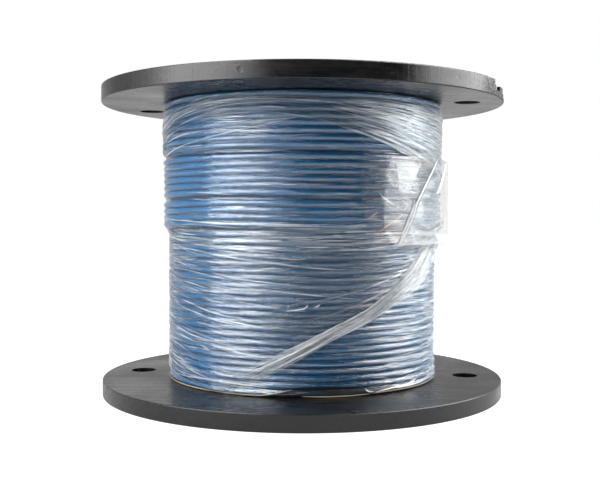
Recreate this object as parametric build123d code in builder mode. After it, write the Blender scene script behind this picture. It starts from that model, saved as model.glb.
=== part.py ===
from build123d import *
from math import cos, pi, radians, sin, tan
import os

# Wire spool: two flanges on a bolted drum, wound with cable and wrapped in stretch film.
# Millimetres. +Z is the spool's axis, z = 0 is the outer face of the lower flange, -Y is the front.

# Driving dimensions: the reel.
flange_radius = 152.4
flange_thickness = 11.9
inside_width = 206.5
rim_round = 0.7

drive_hole_radius = 9.525
drive_circle_radius = 125.9
lower_drive_angles = (175.0, 355.0)
upper_drive_angles = (165.0, 345.0)

drum_radius = 76.2
drum_wall = 4.8
drum_seat_depth = 4.0
drum_seat_gap = 0.2

arbor_radius = 19.05
bush_wall = 4.0
bush_length = 20.0
bush_collar_radius = 29.0
bush_collar_thickness = 2.6
bush_round = 0.5

# Tie bolts: quarter inch, heads below and nuts above, both sunk into the flanges.
bolt_count = 4
bolt_circle_radius = 58.0
bolt_start_angle = 40.0
bolt_radius = 3.175
bolt_hole_radius = 3.5
hex_across_flats = 11.1
bolt_head_height = 4.0
nut_height = 5.6
nut_bore_radius = 3.2
washer_radius = 7.95
washer_hole_radius = 3.4
washer_thickness = 1.6
counterbore_radius = 9.0
counterbore_depth = 7.6
bolt_tip_chamfer = 0.8
hex_corner_drop = 0.9

# Wire: layers of round cable, each lying in the grooves of the layer below.
wire_diameter = 4.85
turns_per_layer = 42
layer_rise = 4.15
full_layers = 6
top_layer_turns = 19
groove_depth = 1.65

# Stretch film, its twisted tail and the label pouch.
film_thickness = 0.4
film_gap = 0.2
film_end_gap = 0.4
film_slope_height = 5.0
tail_diameter = 5.0
tail_lift = 1.05
bend_share = 0.45
pouch_inner_radius = 106.9
pouch_thickness = 0.5
pouch_bottom = 113.0
pouch_top = 176.0
pouch_start_angle = -68.5
pouch_lift_angle = -16.0
pouch_flap_length = 30.0

# Worked-out sizes.
overall_height = inside_width + 2 * flange_thickness
lower_face = flange_thickness
upper_face = flange_thickness + inside_width
wire_pitch = inside_width / (turns_per_layer + 0.5)
full_radius = drum_radius + wire_diameter + (full_layers - 1) * layer_rise
top_radius = full_radius + layer_rise
last_full_floor = drum_radius + (full_layers - 1) * layer_rise
top_floor = drum_radius + full_layers * layer_rise
open_turns = turns_per_layer - top_layer_turns
step_height = upper_face - top_layer_turns * wire_pitch

# What is broken out of the upper flange's rim: outlines in plan as (angle, radius), out past the rim, each
# with the height of the material left under it. One splinter still stands at the rim, cut down to its own height.
rim_breaks = (
    (
        [
            (-28.6, 158.0),
            (-28.3, 151.6),
            (-27.0, 148.4),
            (-24.0, 147.3),
            (-20.4, 146.6),
            (-15.0, 147.2),
            (-9.2, 146.7),
            (-3.1, 147.4),
            (1.4, 148.8),
            (4.0, 150.4),
            (4.8, 158.0),
            (-7.0, 158.0),
            (-18.8, 158.0),
            (-18.5, 150.6),
            (-20.9, 149.3),
            (-23.3, 150.2),
            (-23.1, 158.0),
        ],
        4.4,
    ),
    (
        [
            (-17.6, 158.0),
            (-16.2, 150.8),
            (-12.9, 149.2),
            (-8.8, 150.1),
            (-5.9, 148.9),
            (-1.7, 150.4),
            (0.9, 158.0),
        ],
        2.1,
    ),
    (
        [
            (-23.8, 158.0),
            (-24.0, 148.6),
            (-18.0, 148.6),
            (-17.9, 158.0),
        ],
        7.9,
    ),
)


def on_circle(radius, angle):
    return (radius * cos(radians(angle)), radius * sin(radians(angle)))


def plan_points(outline):
    return [on_circle(radius, angle) for angle, radius in outline]


os.makedirs("parts", exist_ok=True)

# Flanges. The outer face carries the sunk fasteners and the bush collar, the inner face the drum's seat.
# Each row is the name, then the bottom of the disc, of its collar recess, of its counterbores and of its
# drum seat, then the angles of its drive holes and what is broken out of its rim.
flanges = (
    (
        "lower_flange",
        0.0,
        0.0,
        0.0,
        lower_face - drum_seat_depth,
        lower_drive_angles,
        (),
    ),
    (
        "upper_flange",
        upper_face,
        overall_height - bush_collar_thickness,
        overall_height - counterbore_depth,
        upper_face,
        upper_drive_angles,
        rim_breaks,
    ),
)
for name, disc_bottom, collar_bottom, bore_bottom, seat_bottom, drive_angles, breaks in flanges:
    with BuildPart() as flange:
        with BuildSketch(Plane.XY.offset(disc_bottom)):
            Circle(flange_radius)
            Circle(arbor_radius + bush_wall, mode=Mode.SUBTRACT)
            for angle in drive_angles:
                with Locations(on_circle(drive_circle_radius, angle)):
                    Circle(drive_hole_radius, mode=Mode.SUBTRACT)
            with PolarLocations(bolt_circle_radius, bolt_count, bolt_start_angle):
                Circle(bolt_hole_radius, mode=Mode.SUBTRACT)
        extrude(amount=flange_thickness)
        rim_edges = flange.edges().filter_by(GeomType.CIRCLE).sort_by(SortBy.RADIUS)[-2:]
        fillet(rim_edges, rim_round)
        with BuildSketch(Plane.XY.offset(collar_bottom)):
            Circle(bush_collar_radius)
        extrude(amount=bush_collar_thickness, mode=Mode.SUBTRACT)
        with BuildSketch(Plane.XY.offset(bore_bottom)):
            with PolarLocations(bolt_circle_radius, bolt_count, bolt_start_angle):
                Circle(counterbore_radius)
        extrude(amount=counterbore_depth, mode=Mode.SUBTRACT)
        with BuildSketch(Plane.XY.offset(seat_bottom)):
            Circle(drum_radius + drum_seat_gap)
            Circle(drum_radius - drum_wall - drum_seat_gap, mode=Mode.SUBTRACT)
        extrude(amount=drum_seat_depth, mode=Mode.SUBTRACT)
        for outline, floor in breaks:
            with BuildSketch(Plane.XY.offset(disc_bottom + floor)):
                with BuildLine():
                    Polyline(*plan_points(outline), close=True)
                make_face()
            extrude(amount=flange_thickness, mode=Mode.SUBTRACT)
    flange.part.label = name
    export_step(flange.part, f"parts/{name}.step")

# Drum tube, seated in the groove of each flange.
with BuildPart() as drum_tube:
    with BuildSketch(Plane.XY.offset(lower_face - drum_seat_depth)):
        Circle(drum_radius)
        Circle(drum_radius - drum_wall, mode=Mode.SUBTRACT)
    extrude(amount=inside_width + 2 * drum_seat_depth)
drum_tube.part.label = "drum_tube"
export_step(drum_tube.part, "parts/drum_tube.step")

# Arbor bushes: a collar let into the flange's outer face and a sleeve that reaches into the drum.
with BuildPart() as arbor_bush_lower:
    with BuildSketch(Plane.XZ):
        with BuildLine():
            Polyline(
                (arbor_radius, 0),
                (bush_collar_radius, 0),
                (bush_collar_radius, bush_collar_thickness),
                (arbor_radius + bush_wall, bush_collar_thickness),
                (arbor_radius + bush_wall, bush_length),
                (arbor_radius, bush_length),
                close=True,
            )
        make_face()
    revolve(axis=Axis.Z)
    inner_end = arbor_bush_lower.faces().sort_by(Axis.Z)[-1]
    fillet(inner_end.edges().sort_by(SortBy.RADIUS)[-1], bush_round)
arbor_bush_lower.part.label = "arbor_bush_lower"
export_step(arbor_bush_lower.part, "parts/arbor_bush_lower.step")

with BuildPart() as arbor_bush_upper:
    mirror(arbor_bush_lower.part, about=Plane.XY.offset(overall_height / 2))
arbor_bush_upper.part.label = "arbor_bush_upper"
export_step(arbor_bush_upper.part, "parts/arbor_bush_upper.step")

# Fasteners. Each height is where the piece starts, going up the bolt.
head_top = counterbore_depth - washer_thickness
head_bottom = head_top - bolt_head_height
nut_washer_bottom = overall_height - counterbore_depth
nut_bottom = nut_washer_bottom + washer_thickness
bolt_tip = nut_bottom + nut_height

with BuildPart() as one_bolt:
    with BuildSketch(Plane.XY.offset(head_bottom)):
        RegularPolygon(hex_across_flats / 2, 6, major_radius=False)
    extrude(amount=bolt_head_height)
    with BuildSketch(Plane.XZ):
        with BuildLine():
            Polyline(
                (hex_across_flats / 2, head_bottom),
                (hex_across_flats, head_bottom),
                (hex_across_flats, head_bottom + hex_corner_drop * hex_across_flats / 2),
                close=True,
            )
        make_face()
    revolve(axis=Axis.Z, mode=Mode.SUBTRACT)
    with BuildSketch(Plane.XY.offset(head_top)):
        Circle(bolt_radius)
    extrude(amount=bolt_tip - head_top)
    chamfer(one_bolt.faces().sort_by(Axis.Z)[-1].edges(), bolt_tip_chamfer)

with BuildPart() as tie_bolts:
    with PolarLocations(bolt_circle_radius, bolt_count, bolt_start_angle):
        add(one_bolt.part)
tie_bolts.part.label = "tie_bolts"
export_step(tie_bolts.part, "parts/tie_bolts.step")

with BuildPart() as one_nut:
    with BuildSketch(Plane.XY.offset(nut_bottom)):
        RegularPolygon(hex_across_flats / 2, 6, major_radius=False)
        Circle(nut_bore_radius, mode=Mode.SUBTRACT)
    extrude(amount=nut_height)
    with BuildSketch(Plane.XZ):
        with BuildLine():
            Polyline(
                (hex_across_flats / 2, bolt_tip),
                (hex_across_flats, bolt_tip),
                (hex_across_flats, bolt_tip - hex_corner_drop * hex_across_flats / 2),
                close=True,
            )
        make_face()
    revolve(axis=Axis.Z, mode=Mode.SUBTRACT)

with BuildPart() as hex_nuts:
    with PolarLocations(bolt_circle_radius, bolt_count, bolt_start_angle):
        add(one_nut.part)
hex_nuts.part.label = "hex_nuts"
export_step(hex_nuts.part, "parts/hex_nuts.step")

for washer_name, washer_bottom in (("head_washers", head_top), ("nut_washers", nut_washer_bottom)):
    with BuildPart() as washers:
        with BuildSketch(Plane.XY.offset(washer_bottom)):
            with PolarLocations(bolt_circle_radius, bolt_count, bolt_start_angle):
                Circle(washer_radius)
                Circle(washer_hole_radius, mode=Mode.SUBTRACT)
        extrude(amount=washer_thickness)
    washers.part.label = washer_name
    export_step(washers.part, f"parts/{washer_name}.step")

# Wire on the drum. The buried layers are one closed solid. The last full layer shows its turns where no more
# wire covers it, and the last, unfinished layer lies over its upper part.
with BuildPart() as wire_inner_layers:
    with BuildSketch(Plane.XY.offset(lower_face)):
        Circle(last_full_floor)
        Circle(drum_radius, mode=Mode.SUBTRACT)
    extrude(amount=inside_width)
wire_inner_layers.part.label = "wire_inner_layers"
export_step(wire_inner_layers.part, "parts/wire_inner_layers.step")

groove_radius = full_radius - groove_depth
open_top = lower_face + open_turns * wire_pitch
with BuildPart() as wire_outer_layer:
    with BuildSketch(Plane.XZ):
        with BuildLine():
            for turn in range(open_turns):
                turn_bottom = lower_face + turn * wire_pitch
                ThreePointArc(
                    (groove_radius, turn_bottom),
                    (full_radius, turn_bottom + wire_pitch / 2),
                    (groove_radius, turn_bottom + wire_pitch),
                )
            Polyline(
                (groove_radius, open_top),
                (groove_radius, step_height),
                (top_floor, step_height),
                (top_floor, upper_face),
                (last_full_floor, upper_face),
                (last_full_floor, lower_face),
                (groove_radius, lower_face),
            )
        make_face()
    revolve(axis=Axis.Z)
wire_outer_layer.part.label = "wire_outer_layer"
export_step(wire_outer_layer.part, "parts/wire_outer_layer.step")

top_groove_radius = top_radius - groove_depth
with BuildPart() as wire_top_layer:
    with BuildSketch(Plane.XZ):
        with BuildLine():
            for turn in range(top_layer_turns):
                turn_bottom = step_height + turn * wire_pitch
                ThreePointArc(
                    (top_groove_radius, turn_bottom),
                    (top_radius, turn_bottom + wire_pitch / 2),
                    (top_groove_radius, turn_bottom + wire_pitch),
                )
            Polyline(
                (top_groove_radius, upper_face),
                (top_floor, upper_face),
                (top_floor, step_height),
                (top_groove_radius, step_height),
            )
        make_face()
    revolve(axis=Axis.Z)
wire_top_layer.part.label = "wire_top_layer"
export_step(wire_top_layer.part, "parts/wire_top_layer.step")

# Stretch film: a thin sleeve that steps in where the unfinished layer ends.
film_low = full_radius + film_gap
film_high = top_radius + film_gap
film_bottom = lower_face + film_end_gap
film_top = upper_face - film_end_gap
film_step_top = step_height - film_gap
film_step_bottom = film_step_top - film_slope_height
with BuildPart() as stretch_film:
    with BuildSketch(Plane.XZ):
        with BuildLine():
            Polyline(
                (film_low, film_bottom),
                (film_low + film_thickness, film_bottom),
                (film_low + film_thickness, film_step_bottom),
                (film_high + film_thickness, film_step_top),
                (film_high + film_thickness, film_top),
                (film_high, film_top),
                (film_high, film_step_top),
                (film_low, film_step_bottom),
                close=True,
            )
        make_face()
    revolve(axis=Axis.Z)
stretch_film.part.label = "stretch_film"
export_step(stretch_film.part, "parts/stretch_film.step")

# Film tail: the twisted end of the film, laid round the front, as (angle, height) along its route.
tail_route = [
    (-117.0, 20.0),
    (-104.0, 31.5),
    (-91.0, 43.0),
    (-77.5, 55.5),
    (-64.5, 66.0),
    (-52.0, 77.5),
    (-41.0, 87.0),
    (-32.0, 98.5),
    (-25.5, 109.0),
]
tail_corner_radius = film_low + film_thickness + tail_diameter / 2 + tail_lift
tail_points = [
    Vector(*on_circle(tail_corner_radius, angle), height) for angle, height in tail_route
]
tail_bends = []
for before, corner, after in zip(tail_points, tail_points[1:], tail_points[2:]):
    into, out = corner - before, after - corner
    half_turn = radians(into.get_angle(out)) / 2
    tail_bends.append(bend_share * min(into.length, out.length) / tan(half_turn))
print("film tail bends, mm:", [round(bend) for bend in tail_bends])

with BuildPart() as film_tail:
    with BuildLine() as tail_line:
        FilletPolyline(*tail_points, radius=tail_bends)
    with BuildSketch(Plane(tail_points[0], z_dir=tail_points[1] - tail_points[0])):
        Circle(tail_diameter / 2)
    sweep(path=tail_line.wires()[0])
film_tail.part.label = "film_tail"
export_step(film_tail.part, "parts/film_tail.step")
tail_wire = tail_line.wires()[0]
tail_section = pi * tail_diameter**2 / 4
print("film tail length, mm:", round(tail_wire.length, 1))
print("film tail volume over section times length:", film_tail.part.volume / tail_section / tail_wire.length)

# Label pouch: follows the film, then stands off it in a straight flap.
pouch_outer_radius = pouch_inner_radius + pouch_thickness
lift_normal = Vector(*on_circle(1.0, pouch_lift_angle))
flap_way = Vector(-lift_normal.Y, lift_normal.X) * pouch_flap_length
inner_lift = lift_normal * pouch_inner_radius
outer_lift = lift_normal * pouch_outer_radius
pouch_turn = pouch_lift_angle - pouch_start_angle
with BuildPart() as label_pouch:
    with BuildSketch(Plane.XY.offset(pouch_bottom)):
        with BuildLine():
            CenterArc((0, 0), pouch_inner_radius, pouch_start_angle, pouch_turn)
            Line(inner_lift, inner_lift + flap_way)
            Line(inner_lift + flap_way, outer_lift + flap_way)
            Line(outer_lift + flap_way, outer_lift)
            CenterArc((0, 0), pouch_outer_radius, pouch_start_angle, pouch_turn)
            Line(
                on_circle(pouch_inner_radius, pouch_start_angle),
                on_circle(pouch_outer_radius, pouch_start_angle),
            )
        make_face()
    extrude(amount=pouch_top - pouch_bottom)
label_pouch.part.label = "label_pouch"
export_step(label_pouch.part, "parts/label_pouch.step")
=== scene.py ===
import math

import bmesh
import bpy
import numpy as np
from mathutils import Matrix, Vector


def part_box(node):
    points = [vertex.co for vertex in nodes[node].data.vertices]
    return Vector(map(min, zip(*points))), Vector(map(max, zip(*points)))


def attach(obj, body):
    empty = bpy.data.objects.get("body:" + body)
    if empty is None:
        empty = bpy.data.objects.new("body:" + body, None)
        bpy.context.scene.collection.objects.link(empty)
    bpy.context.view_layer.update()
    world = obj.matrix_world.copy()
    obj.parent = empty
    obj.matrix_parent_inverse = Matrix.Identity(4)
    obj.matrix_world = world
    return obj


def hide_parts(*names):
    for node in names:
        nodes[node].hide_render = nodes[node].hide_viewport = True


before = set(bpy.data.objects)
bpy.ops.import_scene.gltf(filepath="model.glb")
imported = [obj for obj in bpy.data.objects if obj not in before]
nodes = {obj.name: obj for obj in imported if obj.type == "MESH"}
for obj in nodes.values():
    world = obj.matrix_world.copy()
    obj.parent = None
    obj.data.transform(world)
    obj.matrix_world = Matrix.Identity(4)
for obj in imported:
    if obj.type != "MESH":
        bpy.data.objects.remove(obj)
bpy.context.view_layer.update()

# ---------------------------------------------------------------- sizes, in metres, from the frame
MM = 0.001
flange_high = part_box("lower_flange")[1]
flange_radius = flange_high.x
lower_face = flange_high.z
upper_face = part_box("upper_flange")[0].z
mid_height = (lower_face + upper_face) / 2
full_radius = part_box("wire_outer_layer")[1].x
top_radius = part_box("wire_top_layer")[1].x
step_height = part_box("wire_top_layer")[0].z

# Wire: seven layers on the drum, the last one unfinished.
wire_radius = 2.4 * MM
layer_rise = top_radius - full_radius
turns_per_layer = 42
pitch = (upper_face - lower_face) / (turns_per_layer + 0.5)
full_layers = 6
crossover_centre = math.radians(90)
crossover_half = math.radians(16)
wire_to_film = 0.1 * MM
climb_turns = 0.06

# Turns of the two outer layers wander up and down by this much, over cells of this size.
WANDER = 1.0 * MM
WANDER_CELLS_ROUND = 9
WANDER_CELLS_UP = 14
WANDER_CELL_HEIGHT = 18 * MM

# Points per turn and sides of the wire's tube: buried layers, the last full layer, the top layer.
BURIED_DETAIL = (48, 6)
FULL_DETAIL = (150, 10)
TOP_DETAIL = (200, 12)

# Wider gaps between turns of the unfinished layer: turns wound before the gap -> extra pitches.
TOP_LAYER_GAPS = {8: 0.55, 14: 0.5}

# Gathered film: length of the coarse and fine pleats, and size of the patches where they are stronger.
COARSE_PLEAT = 62 * MM
FINE_PLEAT = 34 * MM
PLEAT_PATCH = 55 * MM
FINE_WIDTH_SHARE = 0.42
FINE_HEIGHT_SHARE = 0.35

# Pouch: where it starts and leaves the winding in degrees, how far its right side then runs straight in
# millimetres, and its relief.
POUCH_START = -68.5
POUCH_LEAVES = -16.0
POUCH_FLAP = 29.0
POUCH_LIFT = 1.3 * MM
POUCH_PUFF = 0.8 * MM
POUCH_RIPPLE = 0.35 * MM

# Camera: place in flange radii from the middle of the reel, lens in millimetres, angles in radians.
CAMERA_PLACE = (-0.0106, -4.71, 0.130)
CAMERA_LENS = 55.35
CAMERA_DOWN = 0.033
CAMERA_ROLL = 0.0021

BLUE_WIRE = (0.0060, 0.148, 0.345)
FILM_TONE = (0.88, 0.885, 0.885)
CREASE_TONE = (0.80, 0.875, 0.91)


# ---------------------------------------------------------------- small tools
def smooth_step(x):
    x = np.clip(x, 0.0, 1.0)
    return x * x * (3 - 2 * x)


def noise_field(rng, columns, rows):
    """Smooth noise from 0 to 1 over u and v in cells; it repeats after `columns` cells of u."""
    grid = rng.random((columns, rows + 2))

    def field(u, v):
        v = np.clip(v, 0, rows)
        i, j = np.floor(u).astype(int), np.floor(v).astype(int)
        a, b = smooth_step(u - i), smooth_step(v - j)
        i0, i1 = i % columns, (i + 1) % columns
        low = grid[i0, j] * (1 - a) + grid[i1, j] * a
        high = grid[i0, j + 1] * (1 - a) + grid[i1, j + 1] * a
        return low * (1 - b) + high * b

    return field


def mesh_piece(name, points, faces, material, uvs=None, replaces=()):
    """One mesh object on the reel, from arrays of points and faces of one size."""
    mesh = bpy.data.meshes.new(name)
    mesh.vertices.add(len(points))
    mesh.vertices.foreach_set("co", np.asarray(points, np.float32).ravel())
    corners = faces.shape[1]
    mesh.loops.add(faces.size)
    mesh.loops.foreach_set("vertex_index", faces.astype(np.int32).ravel())
    mesh.polygons.add(len(faces))
    mesh.polygons.foreach_set("loop_start", np.arange(0, faces.size, corners, dtype=np.int32))
    mesh.polygons.foreach_set("loop_total", np.full(len(faces), corners, np.int32))
    mesh.polygons.foreach_set("use_smooth", np.full(len(faces), True))
    mesh.update()
    mesh.validate()
    if uvs is not None:
        layer = mesh.uv_layers.new(name="streak")
        layer.data.foreach_set("uv", np.asarray(uvs, np.float32)[faces.ravel()].ravel())
    mesh.materials.append(material)
    piece = bpy.data.objects.new(name, mesh)
    bpy.context.scene.collection.objects.link(piece)
    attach(piece, "root")
    if replaces:
        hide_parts(*replaces)
    return piece


def grid_faces(columns, rows, wrap_rows=False):
    """Quads over columns x rows points, stored column by column."""
    last = rows if wrap_rows else rows - 1
    c, r = np.meshgrid(np.arange(columns - 1), np.arange(last), indexing="ij")
    up = (r + 1) % rows
    return np.stack(
        [c * rows + r, (c + 1) * rows + r, (c + 1) * rows + up, c * rows + up], -1
    ).reshape(-1, 4)


# ---------------------------------------------------------------- materials
def new_material(name):
    material = bpy.data.materials.new(name)
    material.use_nodes = True
    tree = material.node_tree
    return material, tree, tree.nodes["Principled BSDF"]


def node(tree, kind, **settings):
    made = tree.nodes.new(kind)
    for key, value in settings.items():
        setattr(made, key, value)
    return made


def mapped_noise(tree, source, scale, noise_scale, detail=3.0, roughness=0.55):
    """Noise stretched by `scale` on one of a texture coordinate node's outputs."""
    coordinate = node(tree, "ShaderNodeTexCoord")
    mapping = node(tree, "ShaderNodeMapping")
    mapping.inputs["Scale"].default_value = scale
    noise = node(tree, "ShaderNodeTexNoise")
    noise.inputs["Scale"].default_value = noise_scale
    noise.inputs["Detail"].default_value = detail
    noise.inputs["Roughness"].default_value = roughness
    tree.links.new(coordinate.outputs[source], mapping.inputs["Vector"])
    tree.links.new(mapping.outputs["Vector"], noise.inputs["Vector"])
    return noise.outputs["Fac"]


def ramp(tree, value, stops):
    made = node(tree, "ShaderNodeValToRGB")
    elements = made.color_ramp.elements
    while len(elements) < len(stops):
        elements.new(0.5)
    for element, (place, colour) in zip(elements, stops):
        element.position = place
        element.color = (*colour, 1) if hasattr(colour, "__len__") else (colour, colour, colour, 1)
    tree.links.new(value, made.inputs["Fac"])
    return made.outputs["Color"]


def bump(tree, shader, height, distance, strength=1.0, under=None):
    made = node(tree, "ShaderNodeBump")
    made.inputs["Distance"].default_value = distance
    made.inputs["Strength"].default_value = strength
    tree.links.new(height, made.inputs["Height"])
    if under is not None:
        tree.links.new(under, made.inputs["Normal"])
    tree.links.new(made.outputs["Normal"], shader.inputs["Normal"])
    return made.outputs["Normal"]


def flange_material():
    """Black reel plastic: parallel flow streaks, hairline scratches, pits and fine dents."""
    material, tree, shader = new_material("flange_black")
    streaks = mapped_noise(tree, "Object", (3, 60, 60), 4.0, detail=5, roughness=0.7)
    blotches = mapped_noise(tree, "Object", (1, 1, 1), 22.0, detail=4)
    dark, light = (0.0020, 0.0022, 0.0026), (0.0054, 0.0056, 0.0061)
    tree.links.new(ramp(tree, streaks, [(0.3, dark), (0.7, light)]), shader.inputs["Base Color"])
    shader.inputs["Specular IOR Level"].default_value = 0.56
    both = node(tree, "ShaderNodeMath", operation="MULTIPLY_ADD")
    tree.links.new(streaks, both.inputs[0])
    both.inputs[1].default_value = 0.6
    tree.links.new(blotches, both.inputs[2])
    gloss = ramp(tree, both.outputs[0], [(0.55, 0.17), (1.05, 0.37)])
    tree.links.new(gloss, shader.inputs["Roughness"])
    normal = bump(tree, shader, streaks, 0.00018)
    hairs = mapped_noise(tree, "Object", (1.5, 90, 0.5), 3.0, detail=1)
    lines = ramp(tree, hairs, [(0.485, 0.0), (0.5, 1.0), (0.515, 0.0)])
    normal = bump(tree, shader, lines, 0.00003, under=normal)
    spots = mapped_noise(tree, "Object", (1, 2.5, 1), 110.0, detail=1)
    pits = ramp(tree, spots, [(0.25, 0.0), (0.31, 1.0)])
    normal = bump(tree, shader, pits, 0.00012, under=normal)
    dents = mapped_noise(tree, "Object", (1, 1, 0.1), 180.0, detail=2)
    bump(tree, shader, dents, 0.00002, under=normal)
    return material


def fibre_material():
    """Pressed fibre of the drum: long tangled flecks in two browns, matte."""
    material, tree, shader = new_material("drum_fibre")
    flecks = mapped_noise(tree, "Object", (1, 1, 3.5), 160.0, detail=6, roughness=0.75)
    tone = [(0.25, (0.16, 0.105, 0.06)), (0.5, (0.36, 0.25, 0.15)), (0.8, (0.50, 0.38, 0.25))]
    tree.links.new(ramp(tree, flecks, tone), shader.inputs["Base Color"])
    shader.inputs["Specular IOR Level"].default_value = 0.2
    tree.links.new(ramp(tree, flecks, [(0.2, 0.95), (0.8, 0.75)]), shader.inputs["Roughness"])
    bump(tree, shader, flecks, 0.0003)
    return material


def bush_material():
    """Moulded bush: dark plastic with a fine spark texture and rubbed places."""
    material, tree, shader = new_material("bush_plastic")
    spark = mapped_noise(tree, "Object", (1, 1, 1), 700.0, detail=2)
    rubbed = mapped_noise(tree, "Object", (1, 1, 0.3), 40.0, detail=4)
    tone = [(0.3, (0.012, 0.012, 0.013)), (0.75, (0.030, 0.030, 0.032))]
    tree.links.new(ramp(tree, rubbed, tone), shader.inputs["Base Color"])
    tree.links.new(ramp(tree, rubbed, [(0.3, 0.55), (0.75, 0.34)]), shader.inputs["Roughness"])
    bump(tree, shader, spark, 0.00006)
    return material


def zinc_material():
    """Bright zinc plate: cool steel with faint spangle and turning marks."""
    material, tree, shader = new_material("zinc_steel")
    shader.inputs["Metallic"].default_value = 1.0
    spangle = mapped_noise(tree, "Object", (1, 1, 1), 320.0, detail=4)
    tone = [(0.3, (0.44, 0.45, 0.46)), (0.75, (0.66, 0.67, 0.68))]
    tree.links.new(ramp(tree, spangle, tone), shader.inputs["Base Color"])
    tree.links.new(ramp(tree, spangle, [(0.3, 0.24), (0.8, 0.44)]), shader.inputs["Roughness"])
    bump(tree, shader, mapped_noise(tree, "Object", (1, 1, 14), 260.0, detail=2), 0.00003)
    return material


def wire_material():
    """Blue cable jacket: glossy, with faint drawn lines and a little dust."""
    material, tree, shader = new_material("wire_jacket")
    tone = mapped_noise(tree, "Object", (1, 1, 1), 45.0, detail=3)
    dark = tuple(0.75 * c for c in BLUE_WIRE)
    light = tuple(min(1.0, 1.15 * c) for c in BLUE_WIRE)
    tree.links.new(ramp(tree, tone, [(0.25, dark), (0.8, light)]), shader.inputs["Base Color"])
    grain = mapped_noise(tree, "Object", (1, 1, 1), 900.0, detail=2)
    tree.links.new(ramp(tree, grain, [(0.2, 0.16), (0.8, 0.30)]), shader.inputs["Roughness"])
    shader.inputs["Specular IOR Level"].default_value = 0.9
    bump(tree, shader, grain, 0.00004)
    return material


def film_material(name, clear, milky, streak_scale, milk_from=0.27, edge_cover=0.7):
    """Clear stretch film: a mirror that lets most light through, milky in its streaks and edge on."""
    material, tree, shader = new_material(name)
    shader.inputs["Base Color"].default_value = (*FILM_TONE, 1)
    coordinate = node(tree, "ShaderNodeTexCoord")
    streaks = []
    for scale, detail in (((1.0, streak_scale, 1), 5.0), ((2.2, streak_scale * 3.1, 1), 4.0)):
        mapping = node(tree, "ShaderNodeMapping")
        mapping.inputs["Scale"].default_value = scale
        noise = node(tree, "ShaderNodeTexNoise")
        noise.inputs["Scale"].default_value = 14.0
        noise.inputs["Detail"].default_value = detail
        noise.inputs["Roughness"].default_value = 0.62
        noise.inputs["Distortion"].default_value = 0.5
        tree.links.new(coordinate.outputs["UV"], mapping.inputs["Vector"])
        tree.links.new(mapping.outputs["Vector"], noise.inputs["Vector"])
        streaks.append(noise.outputs["Fac"])
    both = node(tree, "ShaderNodeMath", operation="MULTIPLY")
    tree.links.new(streaks[0], both.inputs[0])
    tree.links.new(streaks[1], both.inputs[1])
    stops = [(milk_from, 0.0), (milk_from + 0.03, 0.4), (milk_from + 0.10, 1.0)]
    milk = ramp(tree, both.outputs[0], stops)
    cover = node(tree, "ShaderNodeMath", operation="MULTIPLY_ADD")
    tree.links.new(milk, cover.inputs[0])
    cover.inputs[1].default_value = milky
    cover.inputs[2].default_value = clear
    edge = node(tree, "ShaderNodeLayerWeight")
    edge.inputs["Blend"].default_value = 0.30
    edge_on = node(tree, "ShaderNodeMath", operation="MULTIPLY_ADD", use_clamp=True)
    tree.links.new(edge.outputs["Fresnel"], edge_on.inputs[0])
    edge_on.inputs[1].default_value = edge_cover
    tree.links.new(cover.outputs[0], edge_on.inputs[2])
    tree.links.new(edge_on.outputs[0], shader.inputs["Alpha"])
    tree.links.new(ramp(tree, milk, [(0.0, 0.95), (1.0, 0.75)]), shader.inputs["Metallic"])
    tree.links.new(ramp(tree, streaks[1], [(0.3, 0.06), (0.7, 0.16)]), shader.inputs["Roughness"])
    bump(tree, shader, both.outputs[0], 0.0009)
    return material


def crease_material(name, thin, thick, tone=CREASE_TONE, metallic=0.52):
    """Folded-over film: whiter than a single layer, still partly see-through."""
    material, tree, shader = new_material(name)
    shader.inputs["Base Color"].default_value = (*tone, 1)
    shader.inputs["Metallic"].default_value = metallic
    patches = mapped_noise(tree, "UV", (1.0, 5.0, 1.0), 34.0, detail=2)
    tree.links.new(ramp(tree, patches, [(0.3, thin), (0.7, thick)]), shader.inputs["Alpha"])
    tree.links.new(ramp(tree, patches, [(0.3, 0.18), (0.7, 0.34)]), shader.inputs["Roughness"])
    bump(tree, shader, patches, 0.0002)
    return material


# ---------------------------------------------------------------- wire
def crossover_share(angle):
    """How far a turn has stepped over to the next one: 0 on its ring, up to 1 across the crossover."""
    since_ring_start = (angle - crossover_centre - crossover_half) % (2 * math.pi)
    ring = 2 * math.pi - 2 * crossover_half
    return smooth_step((since_ring_start - ring) / (2 * crossover_half))


turn_drift = noise_field(np.random.default_rng(11), WANDER_CELLS_ROUND, WANDER_CELLS_UP)


def wander(angle, height):
    """Slow drift of the turns up and down, nearly the same for neighbours, in metres."""
    share = (angle / (2 * math.pi)) % 1.0
    return (turn_drift(share * WANDER_CELLS_ROUND, height / WANDER_CELL_HEIGHT) - 0.5) * WANDER


def layer_heights(layer):
    """Heights of the turns of a layer, in the order that they are wound."""
    upward = layer % 2 != full_layers % 2
    if layer < full_layers:
        shift = 0.5 if upward else 1.0
        heights = lower_face + (np.arange(turns_per_layer) + shift) * pitch
        return heights if upward else heights[::-1]
    heights, at = [], upper_face - pitch / 2
    while at > step_height + 0.4 * pitch:
        heights.append(at)
        at -= pitch * (1 + TOP_LAYER_GAPS.get(len(heights), 0.0))
    return np.array(heights)


def layer_radius(layer):
    return top_radius - wire_radius - wire_to_film - (full_layers - layer) * layer_rise


def turn_lines(layer, angle):
    """Heights of all turns of a layer at each angle: one row per turn."""
    heights = layer_heights(layer)
    after = np.append(heights[1:], heights[-1])
    share = crossover_share(angle)[None, :]
    z = heights[:, None] * (1 - share) + after[:, None] * share
    return z + wander(angle[None, :] + 0 * z, z) if layer >= full_layers - 1 else z


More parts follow.
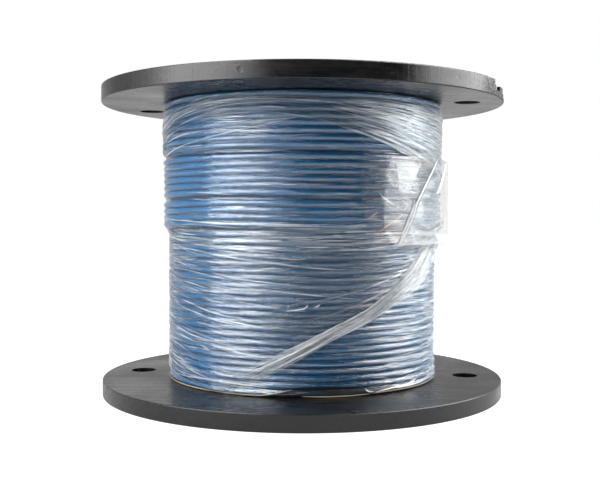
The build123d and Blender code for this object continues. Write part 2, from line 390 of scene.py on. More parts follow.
def wire_layer(layer, per_turn, sides, material):
    """One layer of the winding, as a single tube that starts where the layer below it ends."""
    turns = len(layer_heights(layer))
    total = np.arange(turns * per_turn + 1) / per_turn
    turn = np.minimum(total.astype(int), turns - 1)
    share = total[:per_turn]
    ring_angle = crossover_centre + crossover_half + share * 2 * math.pi
    z = turn_lines(layer, ring_angle).ravel()
    z = np.append(z, z[-1])
    angle = crossover_centre + crossover_half + total * 2 * math.pi
    r = np.full_like(z, layer_radius(layer))
    if layer > 0:
        r -= layer_rise * (1 - smooth_step(total / climb_turns))
    section = np.arange(sides) / sides * 2 * math.pi
    ring_r = r[:, None] + wire_radius * np.cos(section)[None, :]
    ring_z = z[:, None] + wire_radius * np.sin(section)[None, :]
    points = np.stack(
        [ring_r * np.cos(angle)[:, None], ring_r * np.sin(angle)[:, None], ring_z], -1
    ).reshape(-1, 3)
    along = total[:, None] * 2 * math.pi * layer_radius(layer) + 0 * ring_r
    around = section[None, :] * wire_radius + 0 * ring_r
    uvs = np.stack([along, around], -1).reshape(-1, 2)
    faces = grid_faces(len(total), sides, wrap_rows=True)
    stands_for = {
        0: "wire_inner_layers",
        full_layers - 1: "wire_outer_layer",
        full_layers: "wire_top_layer",
    }
    replaces = (stands_for[layer],) if layer in stands_for else ()
    piece = mesh_piece(
        f"wire_layer_{layer + 1}", points, faces, material, uvs=uvs, replaces=replaces
    )
    close_ends(piece.data)


def close_ends(mesh):
    """Fills the open ends of a tube."""
    edit = bmesh.new()
    edit.from_mesh(mesh)
    bmesh.ops.holes_fill(edit, edges=[e for e in edit.edges if e.is_boundary], sides=0)
    edit.to_mesh(mesh)
    edit.free()


# ---------------------------------------------------------------- skin over the winding
GRID_ANGLES = 720
GRID_STEP = 0.4 * MM
grid_heights = np.arange(lower_face, upper_face + GRID_STEP / 2, GRID_STEP)


def winding_skin():
    """Radius of the bare winding on a grid: one row per angle, one column per height."""
    angles = np.arange(GRID_ANGLES) * 2 * math.pi / GRID_ANGLES
    skin = np.full((GRID_ANGLES, len(grid_heights)), layer_radius(full_layers - 1) - 0.2 * MM)
    reach = int(wire_radius / GRID_STEP) + 1
    rows = np.arange(GRID_ANGLES)
    for layer in (full_layers - 1, full_layers):
        for line in turn_lines(layer, angles):
            near = np.round((line - lower_face) / GRID_STEP).astype(int)
            for offset in range(-reach, reach + 1):
                column = np.clip(near + offset, 0, len(grid_heights) - 1)
                away = grid_heights[column] - line
                inside = np.abs(away) < wire_radius
                rise = np.sqrt(np.maximum(wire_radius**2 - away**2, 0))
                value = np.where(inside, layer_radius(layer) + rise, 0)
                skin[rows, column] = np.maximum(skin[rows, column], value)
    return skin


def bridged(skin, ball):
    """The skin as film spans it: a ball of this radius, rolled over it, doesn't reach deeper."""
    reach = int(ball / GRID_STEP)
    offsets = np.arange(-reach, reach + 1)
    caps = np.sqrt(np.maximum(ball**2 - (offsets * GRID_STEP) ** 2, 0))
    padded = np.pad(skin, ((0, 0), (reach, reach)), mode="edge")
    count = skin.shape[1]
    raised = np.max([padded[:, reach + o:reach + o + count] + c for o, c in zip(offsets, caps)], axis=0)
    padded = np.pad(raised, ((0, 0), (reach, reach)), mode="edge")
    return np.min([padded[:, reach + o:reach + o + count] - c for o, c in zip(offsets, caps)], axis=0)


def sample(skin, angle, height):
    """Radius of a skin at angles (radians) and heights, between the grid's points."""
    u = (angle / (2 * math.pi)) % 1.0 * GRID_ANGLES
    v = np.clip((height - lower_face) / GRID_STEP, 0, len(grid_heights) - 1.001)
    i, j = np.floor(u).astype(int) % GRID_ANGLES, np.floor(v).astype(int)
    a, b = u - np.floor(u), v - j
    k = (i + 1) % GRID_ANGLES
    low = skin[i, j] * (1 - a) + skin[k, j] * a
    high = skin[i, j + 1] * (1 - a) + skin[k, j + 1] * a
    return low * (1 - b) + high * b


# ---------------------------------------------------------------- film
def smooth_line(points):
    """A smooth curve through (x, y) points, as a function."""
    x, y = np.array(points, float).T
    slope = np.gradient(y, x)

    def curve(at):
        at = np.clip(at, x[0], x[-1])
        i = np.clip(np.searchsorted(x, at, side="right") - 1, 0, len(x) - 2)
        width = x[i + 1] - x[i]
        t = (at - x[i]) / width
        return (
            y[i] * (1 + 2 * t) * (1 - t) ** 2 + slope[i] * width * t * (1 - t) ** 2
            + y[i + 1] * t * t * (3 - 2 * t) + slope[i + 1] * width * t * t * (t - 1)
        )

    return curve


def level(value):
    return smooth_line([(-400, value), (400, value)])


class FilmFlow:
    """Where a band of film lies on the winding, and its relief.

    spread is its first and last angle in degrees, and low_edge and high_edge give its edges' heights in
    millimetres at an angle. It lies on skin, by lift, with pleats up to slack high and wide across. tuck
    gives a height that it is drawn up to, within about soft, spiral is its rise in radius over a whole
    turn, and bulge is how far its middle stands out.
    """

    def __init__(self, spread, low_edge, high_edge, skin, seed, *, lift, slack, flat_width, wide=3.4,
                 spiral=0.0, tuck=None, soft=2.0, bulge=0.0):
        self.spread, self.low_edge, self.high_edge, self.skin = spread, low_edge, high_edge, skin
        self.lift, self.slack, self.flat_width, self.wide = lift, slack, flat_width, wide * MM
        self.spiral, self.tuck, self.soft, self.bulge = spiral, tuck, soft * MM, bulge
        rng = np.random.default_rng(seed)
        length = math.radians(spread[1] - spread[0]) * top_radius
        self.coarse = self.pleats(rng, length, COARSE_PLEAT, self.wide)
        self.fine = self.pleats(rng, length, FINE_PLEAT, self.wide * FINE_WIDTH_SHARE)
        self.patches = noise_field(rng, int(length / PLEAT_PATCH) + 3, 12)

    def pleats(self, rng, length, cell_along, cell_across):
        """Sharp low ridges, long one way and narrow the other, from 0 to 1."""
        columns, rows = int(length / cell_along) + 3, int(self.flat_width / cell_across) + 6
        lean, ridges = noise_field(rng, columns, 4), noise_field(rng, columns, rows)

        def height(along, across):
            u, v = along / cell_along + 1, across / cell_across
            v = v + 3 * lean(u, across / self.flat_width * 4)
            return (1 - np.abs(2 * ridges(u, v) - 1)) ** 2.2

        return height

    def place(self, degrees, share, rise=0.0):
        """Points of the film at angles in degrees and shares of its width, with streak coordinates."""
        low, high = self.low_edge(degrees) * MM, self.high_edge(degrees) * MM
        z = low + (high - low) * share
        if self.tuck is not None:
            floor = self.tuck(degrees) * MM
            z = floor + self.soft * np.logaddexp(0, (z - floor) / self.soft)
        angle = np.radians(degrees)
        along, across = np.radians(degrees - self.spread[0]) * top_radius, share * self.flat_width
        strength = 0.4 + self.patches(along / PLEAT_PATCH + 1, share * 10)
        relief = self.coarse(along, across) * strength
        relief = relief + FINE_HEIGHT_SHARE * self.fine(along, across)
        r = sample(self.skin, angle, z) + self.lift + self.slack * relief + rise
        r = r + self.spiral * (degrees - self.spread[0]) / 360
        r = r + self.bulge * np.sqrt(np.maximum(1 - (2 * share - 1) ** 2, 0))
        return np.stack([r * np.cos(angle), r * np.sin(angle), z], -1), np.stack([along, across], -1)


def film_band(name, flow, rows, columns, material, replaces=()):
    """The sheet of film of a flow."""
    degrees, share = np.meshgrid(
        np.linspace(*flow.spread, columns), np.linspace(0, 1, rows), indexing="ij"
    )
    points, uvs = flow.place(degrees, share)
    return mesh_piece(name, points.reshape(-1, 3), grid_faces(columns, rows), material,
                      uvs=uvs.reshape(-1, 2), replaces=replaces)


def film_creases(name, flow, seed, count, material, *, length=(14, 75), width=(0.35, 1.1), rise=0.35,
                 density=None, shares=(0.01, 0.99), drift=0.012):
    """Thin folded-over creases that follow a film: narrow arched strips with pointed ends."""
    rng = np.random.default_rng(seed)
    steps = 29
    sweep = np.linspace(*flow.spread, 200)
    crowd = np.cumsum(np.maximum((density or level(1.0))(sweep), 0))
    start = np.interp(rng.uniform(0, crowd[-1], count), crowd, sweep)
    span = np.degrees(rng.uniform(*length, count) * MM / top_radius)
    share = rng.uniform(*shares, count)
    turn = np.linspace(0, 1, steps)
    degrees = np.minimum(start[:, None] + span[:, None] * turn, flow.spread[1])
    bend = rng.normal(0, drift, (count, 3))
    path = share[:, None] + bend[:, :1] * turn + bend[:, 1:2] * np.sin(math.pi * turn) * 0.6
    height = (flow.high_edge(degrees) - flow.low_edge(degrees)) * MM
    taper = np.sin(math.pi * np.clip(turn, 0.02, 0.98)) ** 0.7
    half = rng.uniform(*width, count)[:, None] * MM * taper / 2
    points, uvs = [], []
    for side, up in ((-1, 0.25), (0, 1.0), (1, 0.25)):
        across = np.clip(path + side * half / height, 0, 1)
        arch = rise * MM * up * np.sin(math.pi * turn) ** 0.5
        at, uv = flow.place(degrees, across, rise=arch)
        points.append(at)
        uvs.append(uv)
    points = np.stack(points, 2).reshape(-1, 3)
    uvs = np.stack(uvs, 2).reshape(-1, 2)
    one = grid_faces(steps, 3)
    faces = (one[None] + (np.arange(count) * steps * 3)[:, None, None]).reshape(-1, 4)
    return mesh_piece(name, points, faces, material, uvs=uvs)


def ride_on(skin, degrees, height, lift):
    """Points on a skin at angles in degrees and heights in millimetres."""
    angle, z = np.radians(degrees), height * MM
    r = sample(skin, angle, z) + lift
    return np.stack([r * np.cos(angle), r * np.sin(angle), z + 0 * r], -1)


def film_strips(name, routes, width, material, place, fine=40):
    """Arched strips along given routes, with pointed ends."""
    points, faces, uvs = [], [], []
    for route in routes:
        at = np.linspace(0, len(route) - 1, fine)
        first = smooth_line([(i, p[0]) for i, p in enumerate(route)])(at)
        second = smooth_line([(i, p[1]) for i, p in enumerate(route)])(at)
        run = np.concatenate([[0], np.cumsum(np.hypot(np.diff(first), np.diff(second)))])
        taper = np.sin(math.pi * np.clip(np.linspace(0, 1, fine), 0.02, 0.98)) ** 0.45
        half = 0.5 * width * taper
        lines = []
        for side in (-1, 0, 1):
            line = place(first, second + side * half)
            if side == 0:
                out = line * np.array([1, 1, 0])
                out = out / np.linalg.norm(out, axis=1, keepdims=True)
                line = line + out * 0.35 * width * MM
            lines.append(line)
        faces.append(grid_faces(fine, 3) + 3 * fine * len(points))
        points.append(np.stack(lines, 1).reshape(-1, 3))
        over = np.tile([0, 0.5, 1], fine) * width * MM
        uvs.append(np.stack([np.repeat(run * MM, 3), over], -1))
    return mesh_piece(name, np.concatenate(points), np.concatenate(faces), material,
                      uvs=np.concatenate(uvs))


# ---------------------------------------------------------------- label pouch
pouch_low, pouch_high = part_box("label_pouch")
pouch_radius = top_radius + POUCH_LIFT
pouch_arc = math.radians(POUCH_LEAVES - POUCH_START) * pouch_radius / MM
pouch_crumple = noise_field(np.random.default_rng(31), 12, 6)
pouch_ripple = noise_field(np.random.default_rng(32), 40, 18)


def pouch_point(along, height, lift=0.0, crumple=1.0):
    """A point of the pouch: millimetres along it from its left edge, and height in millimetres."""
    arc = np.minimum(along, pouch_arc)
    straight = np.maximum(along - pouch_arc, 0) * MM
    angle = math.radians(POUCH_START) + arc * MM / pouch_radius
    up = (height * MM - pouch_low.z) / (pouch_high.z - pouch_low.z)
    puff = pouch_crumple(along / 22, up * 4) * POUCH_PUFF
    ripple = pouch_ripple(along / 6 + height / 18, up * 9) * POUCH_RIPPLE * crumple
    r = pouch_radius + puff + ripple + lift * MM
    x = r * np.cos(angle) - straight * np.sin(angle)
    y = r * np.sin(angle) + straight * np.cos(angle)
    return np.stack([x, y, height * MM + 0 * r], -1)


def pouch_patch(name, low, high, left, right, material, lift, columns=60, rows=60, crumple=1.0,
                replaces=()):
    """A patch of the pouch between two edges, each a curve from height to millimetres along."""
    z = low + (high - low) * np.linspace(0, 1, rows)[None, :] + np.zeros((columns, 1))
    along = left(z) + (right(z) - left(z)) * np.linspace(0, 1, columns)[:, None]
    points = pouch_point(along, z, lift, crumple)
    uvs = np.stack([along * MM, z * MM], -1)
    return mesh_piece(name, points.reshape(-1, 3), grid_faces(columns, rows), material,
                      uvs=uvs.reshape(-1, 2), replaces=replaces)


def pouch_strips(name, routes, width, material, lift, fine=40):
    """Strips on the pouch, by lift: routes are (millimetres along it, height in millimetres)."""
    return film_strips(name, routes, width, material, lambda a, h: pouch_point(a, h, lift), fine=fine)


def make_pouch():
    """A flat clear bag laid on the winding, with its right side standing off."""
    low, high = pouch_low.z / MM + 0.3, pouch_high.z / MM - 0.3
    end = pouch_arc + POUCH_FLAP
    left = smooth_line([(low, 29), (123, 12), (137, 1.5), (145, 0.3), (high, 0)])
    right = smooth_line([(low, end - 2), (140, end - 1.5), (high, end)])
    seam_line = smooth_line([(low, 29.5), (146, 50), (high, 78)])
    flap_line = smooth_line([(low, pouch_arc - 16), (130, pouch_arc - 12), (150, pouch_arc - 14),
                             (high, pouch_arc - 4)])
    pouch_patch("pouch_bag", low, high, left, right, pouch_film, 0, columns=150, rows=80,
                replaces=("label_pouch",))
    pouch_patch("pouch_side", low + 1, high - 1, seam_line, flap_line, pouch_side_film, 0.5,
                crumple=3.0)
    pouch_patch("pouch_flap", low + 0.3, high - 0.2, flap_line, right, pouch_flap_film, 0.6)
    front_left = smooth_line([(low, 29), (123, 20), (140, 17), (160, 19), (high, 23)])
    pouch_patch("pouch_front", low + 0.5, high - 0.5, front_left, seam_line, pouch_front_film, 0.3,
                crumple=2.0)
    facet_left = smooth_line([(150, 31), (171, 27)])
    facet_right = smooth_line([(150, 39), (171, 54)])
    pouch_patch("pouch_facet", 151, 171.5, facet_left, facet_right, pouch_side_film, 0.4,
                columns=24, rows=24, crumple=0.3)
    shine_left = smooth_line([(150, 76), (174.5, end - 20)])
    shine_right = smooth_line([(150, 82), (174.5, end - 3)])
    pouch_patch("pouch_shine", 150.5, 174.4, shine_left, shine_right, seam_film, 1.2,
                columns=12, rows=30, crumple=0.3)
    seam = [[(78.5, 175), (64, 160.5), (50.5, 146), (44, 134), (36, 122), (30, 115)],
            [(46, 143), (39, 131), (32, 119), (29, 114.5)]]
    pouch_strips("pouch_seam", seam, 2.3, seam_film, 0.9)
    # Dark lines beside the seam: painted shadow.
    shadow = [[(a + 1.7, h - 0.4) for a, h in seam[0]], [(a - 2.1, h + 0.3) for a, h in seam[0][1:]]]
    pouch_strips("pouch_seam_painted_shadow", shadow, 0.8, seam_shade, 1.1)
    outline = [[(end - 0.4, 175.2), (end - 1.4, 150), (end - 1.9, 132), (end - 2.2, 114.2)],
               [(pouch_arc - 18, 175.4), (pouch_arc, 175.5), (end - 0.5, 175.4)],
               [(29, 113.6), (60, 113.4), (pouch_arc, 113.5), (end - 2, 113.6)],
               [(0.6, 157), (0.6, 148), (1.2, 139), (11.8, 124), (28, 114)]]
    pouch_strips("pouch_edge", outline, 0.9, pouch_edge_film, 0.9, fine=60)
    curl = [[(12.5, 150), (14.5, 147.4), (18, 145.4), (21, 143.4), (25.5, 141.6)]]
    pouch_strips("pouch_curl", curl, 0.9, curl_film, 2.4, fine=24)
    # Orange lines low on the pouch: painted glints of a warm light.
    warm_glints = [[(11.8, 122.9), (22.5, 129.5), (34.3, 135.8)], [(6.0, 133.5), (9, 135.4), (12.2, 136.8)],
             [(18.9, 114.6), (22, 117.6), (26, 121)]]
    pouch_strips("pouch_painted_glint", warm_glints, 0.5, warm_glint_film, 1.2, fine=24)


# ---------------------------------------------------------------- stage, light and camera
def emission(name, strength):
    """White light of one strength all over."""
    material = bpy.data.materials.new(name)
    material.use_nodes = True
    tree = material.node_tree
    tree.nodes.clear()
    glow = node(tree, "ShaderNodeEmission")
    glow.inputs["Strength"].default_value = strength
    output = node(tree, "ShaderNodeOutputMaterial")
    tree.links.new(glow.outputs["Emission"], output.inputs["Surface"])
    return material


def dome_patch(name, azimuths, low_edge, high_edge, radius, material):
    """Part of a sphere round the reel: azimuths and elevations in degrees; the camera doesn't see it."""
    columns, rows = 25, 13
    degrees = np.linspace(*azimuths, columns)
    share = np.linspace(0, 1, rows)
    low, high = low_edge(degrees), high_edge(degrees)
    elevation = np.radians(low[:, None] + (high - low)[:, None] * share)
    turn = np.radians(degrees)[:, None] + 0 * elevation
    points = radius * np.stack(
        [np.cos(elevation) * np.cos(turn), np.cos(elevation) * np.sin(turn), np.sin(elevation)], -1
    ).reshape(-1, 3)
    points[:, 2] += mid_height
    mesh = bpy.data.meshes.new(name)
    mesh.from_pydata(points.tolist(), [], grid_faces(columns, rows).tolist())
    mesh.materials.append(material)
    panel = bpy.data.objects.new(name, mesh)
    bpy.context.scene.collection.objects.link(panel)
    panel.visible_camera = False


def floor_sheet(name, depth, tone, glow):
    """A wide pale floor, seen only from above."""
    material, tree, shader = new_material(name)
    grain = mapped_noise(tree, "Object", (1, 1, 1), 3.0)
    tree.links.new(ramp(tree, grain, [(0.0, 0.97 * tone), (1.0, tone)]), shader.inputs["Base Color"])
    shader.inputs["Roughness"].default_value = 0.9
    shader.inputs["Emission Color"].default_value = (1, 1, 1, 1)
    shader.inputs["Emission Strength"].default_value = glow
    one_way = node(tree, "ShaderNodeMixShader")
    tree.links.new(node(tree, "ShaderNodeNewGeometry").outputs["Backfacing"], one_way.inputs["Fac"])
    tree.links.new(shader.outputs["BSDF"], one_way.inputs[1])
    tree.links.new(node(tree, "ShaderNodeBsdfTransparent").outputs["BSDF"], one_way.inputs[2])
    tree.links.new(one_way.outputs["Shader"], tree.nodes["Material Output"].inputs["Surface"])
    mesh = bpy.data.meshes.new(name)
    reach = 6.0
    corners = [(-reach, -reach), (reach, -reach), (reach, reach), (-reach, reach)]
    mesh.from_pydata([(x, y, -depth) for x, y in corners], [], [(0, 1, 2, 3)])
    mesh.materials.append(material)
    floor = bpy.data.objects.new(name, mesh)
    bpy.context.scene.collection.objects.link(floor)
    return floor


def make_stage():
    """Floor, white surroundings, and soft panels: two bright ones at the sides, the rest dim."""
    floor = floor_sheet("floor", 0.2 * MM, 0.30, 0.92)
    floor.visible_diffuse = False
    floor.visible_glossy = False
    bounce = floor_sheet("floor_bounce", 0.4 * MM, 0.30, 0.40)
    bounce.visible_camera = False

    world = bpy.data.worlds.new("studio")
    bpy.context.scene.world = world
    world.use_nodes = True
    background = world.node_tree.nodes["Background"]
    background.inputs["Color"].default_value = (1, 1, 1, 1)
    background.inputs["Strength"].default_value = 1.0

    left_foot = smooth_line([(-170, 4), (-130, 4), (-123, 9), (-115, 12)])
    right_foot = smooth_line([(-24, 4), (14, 4), (22, 13), (46, 13)])
    panels = [
        ("left_softbox", (-168.5, -115), left_foot, level(72), 1.3, "left_light", 6.1),
        ("left_card", (-191, -168.5), level(7.4), level(20), 1.3, "left_card_light", 1.3),
        ("right_softbox", (-24, 46), right_foot, level(72), 1.3, "right_light", 6.3),
        ("dark_front", (-136, -26), level(1.5), level(74), 1.7, "dark_room", 0.01),
        ("back_card", (92, 130), level(2), level(24), 2.2, "back_card_light", 0.70),
        ("grey_room", (0, 360), level(0), level(89.9), 2.4, "grey_room", 0.46),
    ]
    for name, azimuths, low_edge, high_edge, radius, light, strength in panels:
        dome_patch(name, azimuths, low_edge, high_edge, radius, emission(light, strength))


def make_camera():
    camera = bpy.data.objects.new("camera", bpy.data.cameras.new("camera"))
    bpy.context.scene.collection.objects.link(camera)
    camera.data.sensor_width = 36.0
    camera.data.lens = CAMERA_LENS
    place = Vector(CAMERA_PLACE) * flange_radius + Vector((0, 0, mid_height))
    turn = Matrix.Rotation(math.pi / 2 - CAMERA_DOWN, 4, "X") @ Matrix.Rotation(CAMERA_ROLL, 4, "Z")
    camera.matrix_world = Matrix.Translation(place) @ turn
    bpy.context.scene.camera = camera


# ---------------------------------------------------------------- the object
make_camera()
make_stage()
wire_jacket = wire_material()
CAD_FINISHES = {
    "flange_black": (flange_material(), ("lower_flange", "upper_flange")),
    "drum_fibre": (fibre_material(), ("drum_tube",)),
    "bush_plastic": (bush_material(), ("arbor_bush_lower", "arbor_bush_upper")),
    "zinc_steel": (zinc_material(), ("tie_bolts", "hex_nuts", "head_washers", "nut_washers")),
}
for finish, kept_nodes in CAD_FINISHES.values():
    for name in kept_nodes:
        nodes[name].data.materials.clear()
        nodes[name].data.materials.append(finish)
for layer in range(full_layers - 1):
    wire_layer(layer, *BURIED_DETAIL, wire_jacket)
wire_layer(full_layers - 1, *FULL_DETAIL, wire_jacket)
wire_layer(full_layers, *TOP_DETAIL, wire_jacket)

# Three skins that film can lie on: in among the turns, over the gaps, and spanning whole turns.
bare = winding_skin()
tight = bridged(bare, 1.2 * MM)
easy = bridged(bare, 2.5 * MM)
loose = bridged(bare, 9.0 * MM)

wrap_film = film_material("clear_film_wrap", 0.065, 0.34, 18.0, milk_from=0.30)
gathered_film = film_material("clear_film_gathered", 0.02, 0.20, 20.0, milk_from=0.30)
tail_film = film_material("clear_film_bunched", 0.02, 0.11, 12.0, milk_from=0.28, edge_cover=0.10)
pouch_film = film_material("pouch_film", 0.03, 0.08, 5.0, milk_from=0.30, edge_cover=0.55)
creases = crease_material("film_creases", 0.15, 0.72)
tail_creases = crease_material("film_tail_creases", 0.12, 0.62, (0.79, 0.87, 0.93))
tail_strands = crease_material("film_tail_strands", 0.12, 0.58, (0.84, 0.89, 0.92), 0.15)
seam_film = crease_material("pouch_seams", 0.7, 0.92, (0.92, 0.92, 0.905), 0.1)
seam_shade = crease_material("pouch_seam_shade", 0.45, 0.65, (0.05, 0.06, 0.08), 0.0)
pouch_side_film = crease_material("pouch_side", 0.20, 0.50, (0.86, 0.92, 0.96), 0.15)
pouch_front_film = crease_material("pouch_front", 0.08, 0.26, (0.95, 0.95, 0.93), 0.15)
pouch_flap_film = crease_material("pouch_flap", 0.38, 0.55, (0.50, 0.515, 0.515), 0.0)
pouch_edge_film = crease_material("pouch_edge", 0.35, 0.55, (0.38, 0.385, 0.39), 0.0)
curl_film = crease_material("film_curl", 0.75, 0.95, (0.79, 0.90, 0.95), 0.0)
# Orange strips: painted glints of a warm light.
warm_glint_film = crease_material("pouch_painted_glint", 0.8, 0.97, (0.95, 0.62, 0.42), 0.0)
roll_film = crease_material("film_edge_roll", 0.5, 0.85, (0.62, 0.54, 0.38), 0.0)
# A dark brownish see-through sheet along the bottom turns: painted shade.
bottom_shade_film = crease_material("film_bottom_painted_shade", 0.40, 0.80, (0.022, 0.018, 0.014), 0.0)

# The lines below give heights in millimetres, or densities of creases, at angles in degrees.
WRAP_PLEATS = dict(slack=0.25 * MM, flat_width=0.14, spiral=0.15 * MM)
CREASE_WIDTH = (0.25, 0.9)
lower_wrap = FilmFlow(
    (-280, 100),
    smooth_line([(-290, 12.6), (-200, 12.4), (-90, 12.3), (0, 12.5), (110, 12.8)]),
    smooth_line([(-290, 128), (110, 128)]),
    tight, 3, lift=0.12 * MM, **WRAP_PLEATS)
film_band("film_wrap_lower", lower_wrap, 270, 350, wrap_film, replaces=("stretch_film",))
lower_crowd = smooth_line([(-280, 1), (-190, 1.3), (-172, 1.3), (-150, 0.6), (-115, 0.5), (-95, 0.12),
                           (-72, 0.15), (-58, 1.0), (-35, 3.6), (0, 2.0), (100, 1)])
film_creases("film_creases_lower", lower_wrap, 21, 820, creases, width=CREASE_WIDTH,
             density=lower_crowd)

upper_wrap = FilmFlow(
    (-280, 100),
    smooth_line([(-290, 112), (-170, 116), (-90, 111), (0, 114), (110, 112)]),
    smooth_line([(-290, 217.6), (-180, 217.9), (-90, 217.7), (0, 217.9), (110, 217.6)]),
    easy, 4, lift=0.22 * MM, **WRAP_PLEATS)
film_band("film_wrap_upper", upper_wrap, 270, 350, wrap_film)
upper_crowd = smooth_line([(-280, 1), (-180, 0.8), (-150, 0.4), (-115, 0.3), (-95, 0.08), (-72, 0.15),
                           (-58, 1.6), (-30, 4.0), (0, 1.8), (100, 1)])
film_creases("film_creases_upper", upper_wrap, 22, 480, creases, width=CREASE_WIDTH,
             density=upper_crowd)

# The gathered turns that sweep up under the upper flange at the front.
fan = FilmFlow(
    (-285, 60),
    smooth_line([(-285, 150), (-230, 165), (-190, 176), (-165, 186), (-140, 196), (-115, 203),
                 (-90, 200), (-70, 190), (-50, 178), (-35, 169), (-20, 163), (10, 160), (60, 160)]),
    smooth_line([(-285, 178), (-230, 190), (-190, 200), (-165, 207), (-140, 213), (-115, 216),
                 (-90, 215.5), (-70, 214), (-50, 213), (-35, 212.5), (-20, 212), (10, 210),
                 (60, 205)]),
    loose, 5, lift=0.6 * MM, slack=0.7 * MM, flat_width=0.20)
film_band("film_fan", fan, 170, 400, gathered_film)
fan_crowd = smooth_line([(-285, 1), (-190, 0.4), (-150, 0.1), (-110, 0.08), (-80, 0.3), (-58, 2.6),
                         (-20, 4.4), (10, 1.5), (60, 0.8)])
film_creases("film_fan_creases", fan, 23, 760, creases, width=(0.3, 1.0), shares=(0.0, 0.94),
             density=fan_crowd)
fan_thread_crowd = smooth_line([(-285, 0.5), (-190, 0.3), (-130, 0.1), (-95, 0.15), (-72, 0.8),
                                (-50, 3.4), (-20, 4.0), (10, 1.2), (60, 0.6)])
film_creases("film_fan_threads", fan, 28, 850, tail_creases, length=(20, 90), width=(0.18, 0.6),
             shares=(0.0, 0.97), density=fan_thread_crowd)

# The last turn: drawn in from the whole lower half to the slanting tail.
tail_route = smooth_line([(-128, 12), (-117, 20), (-104, 31.5), (-91, 43), (-77.5, 55.5),
                          (-64.5, 66), (-52, 77.5), (-41, 87), (-32, 98.5), (-25.5, 109),
                          (-15, 117), (-6, 121)])
tail_half = smooth_line([(-128, 6), (-117, 7), (-104, 6), (-91, 5), (-64, 4.6), (-48, 5.5),
                         (-36, 9), (-25, 13), (-15, 13), (-6, 12)])
last_wrap = FilmFlow(
    (-300, -8),
    smooth_line([(-300, 45), (-240, 34), (-190, 24), (-150, 12), (-118, 0), (-95, -8), (-8, -8)]),
    smooth_line([(-300, 150), (-240, 136), (-190, 128), (-150, 121), (-118, 115), (-90, 111),
                 (-60, 110), (-35, 113), (-20, 119), (-8, 123)]),
    loose, 6, lift=0.6 * MM, slack=0.6 * MM, flat_width=0.26, soft=5.0,
    tuck=lambda d: np.maximum(tail_route(d) - 3, 13))
film_band("film_last_wrap", last_wrap, 230, 400, gathered_film)
last_crowd = smooth_line([(-300, 1), (-190, 1.0), (-130, 0.6), (-108, 0.1), (-70, 0.03), (-58, 0.5),
                          (-35, 2.4), (-8, 2.4)])
film_creases("film_last_creases", last_wrap, 24, 470, creases, width=CREASE_WIDTH,
             density=last_crowd)
thread_crowd = smooth_line([(-300, 0.4), (-130, 0.4), (-95, 0.12), (-70, 0.5), (-55, 2.6),
                            (-40, 4.4), (-8, 4.4)])
film_creases("film_last_threads", last_wrap, 27, 480, tail_creases, length=(20, 80),
             width=(0.15, 0.45), shares=(0.05, 0.99), density=thread_crowd)
strand_crowd = smooth_line([(-300, 0), (-74, 0), (-60, 1.5), (-35, 3), (-8, 3)])
film_creases("film_last_strands", last_wrap, 29, 300, tail_strands, length=(18, 60),
             width=(0.3, 0.85), drift=0.06, density=strand_crowd)

tail_top = smooth_line([(-128, 6), (-117, 7), (-91, 5.5), (-64, 6), (-52, 9), (-41, 15),
                        (-32, 17), (-25, 15), (-6, 12)])
tail = FilmFlow((-122, -6), lambda d: tail_route(d) - tail_half(d), lambda d: tail_route(d) + tail_top(d),
                loose, 7, lift=0.9 * MM, slack=1.3 * MM, flat_width=0.04, wide=2.6, bulge=0.5 * MM)
film_band("film_tail_band", tail, 60, 320, tail_film, replaces=("film_tail",))
film_creases("film_tail_creases", tail, 25, 290, tail_strands, length=(30, 110), width=(0.2, 0.6),
             drift=0.07)

# Creases that span the gaps between turns at the lower right, and along the step between layers.
low_span = FilmFlow((-78, 12), level(12.8), level(118), loose, 9, lift=0.35 * MM, slack=0.4 * MM,
                    flat_width=0.14)
span_crowd = smooth_line([(-78, 0), (-62, 0.6), (-45, 2), (-20, 3), (12, 2)])
film_creases("film_span_creases", low_span, 30, 380, tail_strands, length=(15, 60),
             width=(0.25, 0.8), drift=0.025, density=span_crowd)
film_creases("film_step_creases", upper_wrap, 26, 90, creases, length=(25, 90), width=(0.3, 1.0),
             shares=(0.02, 0.17), drift=0.006)


def on_loose(lift):
    """Places strips on the spanning skin, from angles in degrees and heights in millimetres."""
    return lambda degrees, height: ride_on(loose, degrees, height, lift * MM)


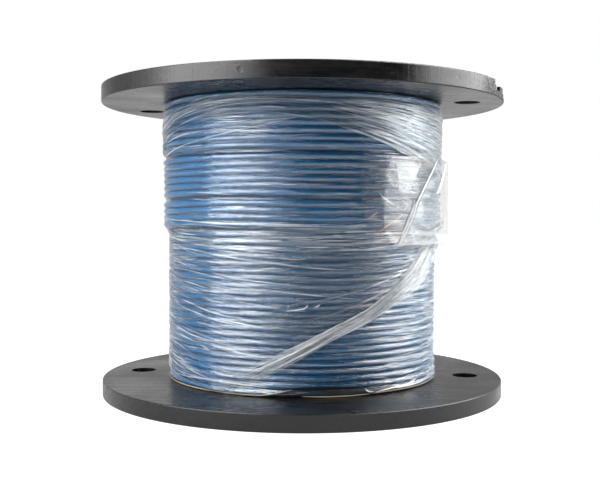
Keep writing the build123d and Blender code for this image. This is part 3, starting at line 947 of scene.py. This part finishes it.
folds = [
    [(-186, 188), (-172, 193), (-155, 200.5), (-140, 206), (-122, 210.5), (-108, 212.5)],
    [(-190, 172), (-176, 181), (-160, 187), (-144, 191), (-126, 193), (-112, 194)],
    [(-192, 160), (-174, 174), (-155, 180), (-138, 185), (-120, 190), (-104, 195), (-92, 200)],
    [(-97, 74), (-80, 79), (-62, 87), (-48, 94.5), (-36, 103), (-24, 111)],
    [(-100, 63), (-84, 66), (-68, 75), (-54, 84), (-42, 93), (-30, 104)],
]
film_strips("film_folds", folds, 0.9, creases, on_loose(0.9), fine=60)
curls = [
    [(-96, 70.6), (-92, 71.6), (-89.6, 72.2), (-88.4, 73.8), (-87.8, 75.2)],
    [(-85.4, 73.4), (-84.2, 74.2), (-83.4, 75.4)],
]
film_strips("film_curls", curls, 0.8, curl_film, on_loose(2.2), fine=20)

# The lower edge of the film: a dark sheet of painted shade where it dips behind, a pale roll of film, and
# a lifted corner.
bottom_shade_flow = FilmFlow(
    (-104, -36), level(12.4), smooth_line([(-104, 13), (-96, 17.5), (-60, 17), (-36, 14)]),
    tight, 8, lift=0.5 * MM, slack=0.3 * MM, flat_width=0.02)
film_band("film_bottom_painted_shade", bottom_shade_flow, 16, 120, bottom_shade_film)
rolls = [
    [(-90, 13.1), (-81, 12.7), (-72, 12.7), (-63, 12.9)],
    [(-128, 12.9), (-112, 12.9), (-104, 13.6), (-94, 17.6)],
    [(-176, 13.6), (-160, 13.0), (-142, 12.9), (-126, 12.9)],
    [(-62, 13.1), (-52, 13.4), (-38, 13.2), (-14, 13.4)],
]
film_strips("film_edge_roll", rolls, 0.9, roll_film, on_loose(0.7), fine=50)
corner = [
    [(-65.4, 17.4), (-64.6, 15.6), (-63.4, 14.6), (-61.6, 14.4)],
    [(-50, 14.6), (-44, 16.0), (-38.5, 18.4)],
    [(-61, 14.0), (-52, 15.4), (-42, 15.0), (-30, 15.8)],
]
film_strips("film_edge_corner", corner, 1.0, seam_film, on_loose(1.5), fine=24)

make_pouch()

bpy.context.scene.view_settings.view_transform = "Standard"
